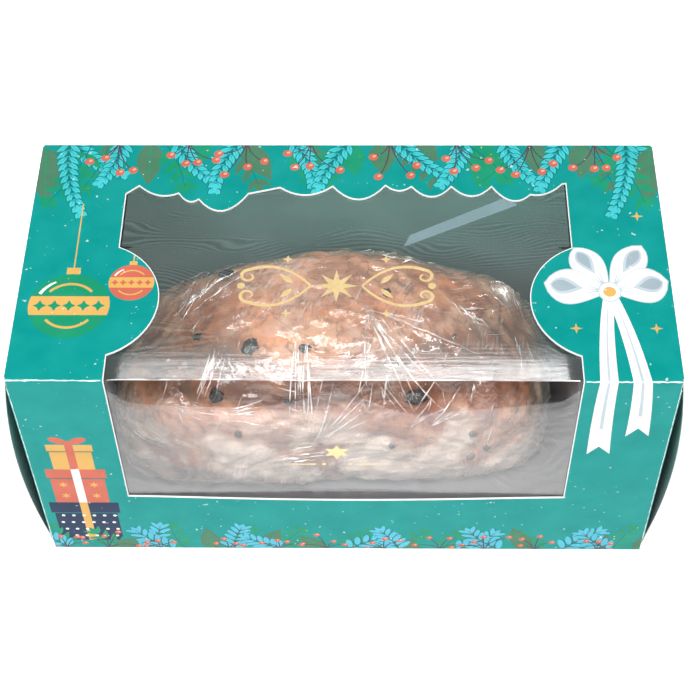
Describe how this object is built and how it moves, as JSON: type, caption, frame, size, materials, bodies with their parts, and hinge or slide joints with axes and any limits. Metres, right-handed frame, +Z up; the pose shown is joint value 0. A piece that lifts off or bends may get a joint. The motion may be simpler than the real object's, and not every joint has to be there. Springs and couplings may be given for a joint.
{
  "type": "boxed stollen loaf",
  "caption": "Fruit stollen loaf in cling wrap, shut in a printed card gift carton with a clear film window over its top and front.",
  "frame": {"origin": "middle of the base, on the surface the carton stands on", "axes": "+X along the carton, front with the window facing -Y, +Z up"},
  "size_m": [0.2516, 0.116, 0.118],
  "materials": {
    "printed_card": "satin",
    "clear_film": "gloss",
    "crust": "satin",
    "raisin": "satin",
    "cling_wrap": "gloss"
  },
  "bodies": {
    "root": {"carton": "printed_card", "window_film": "clear_film", "stollen": "crust"}
  },
  "joints": []
}
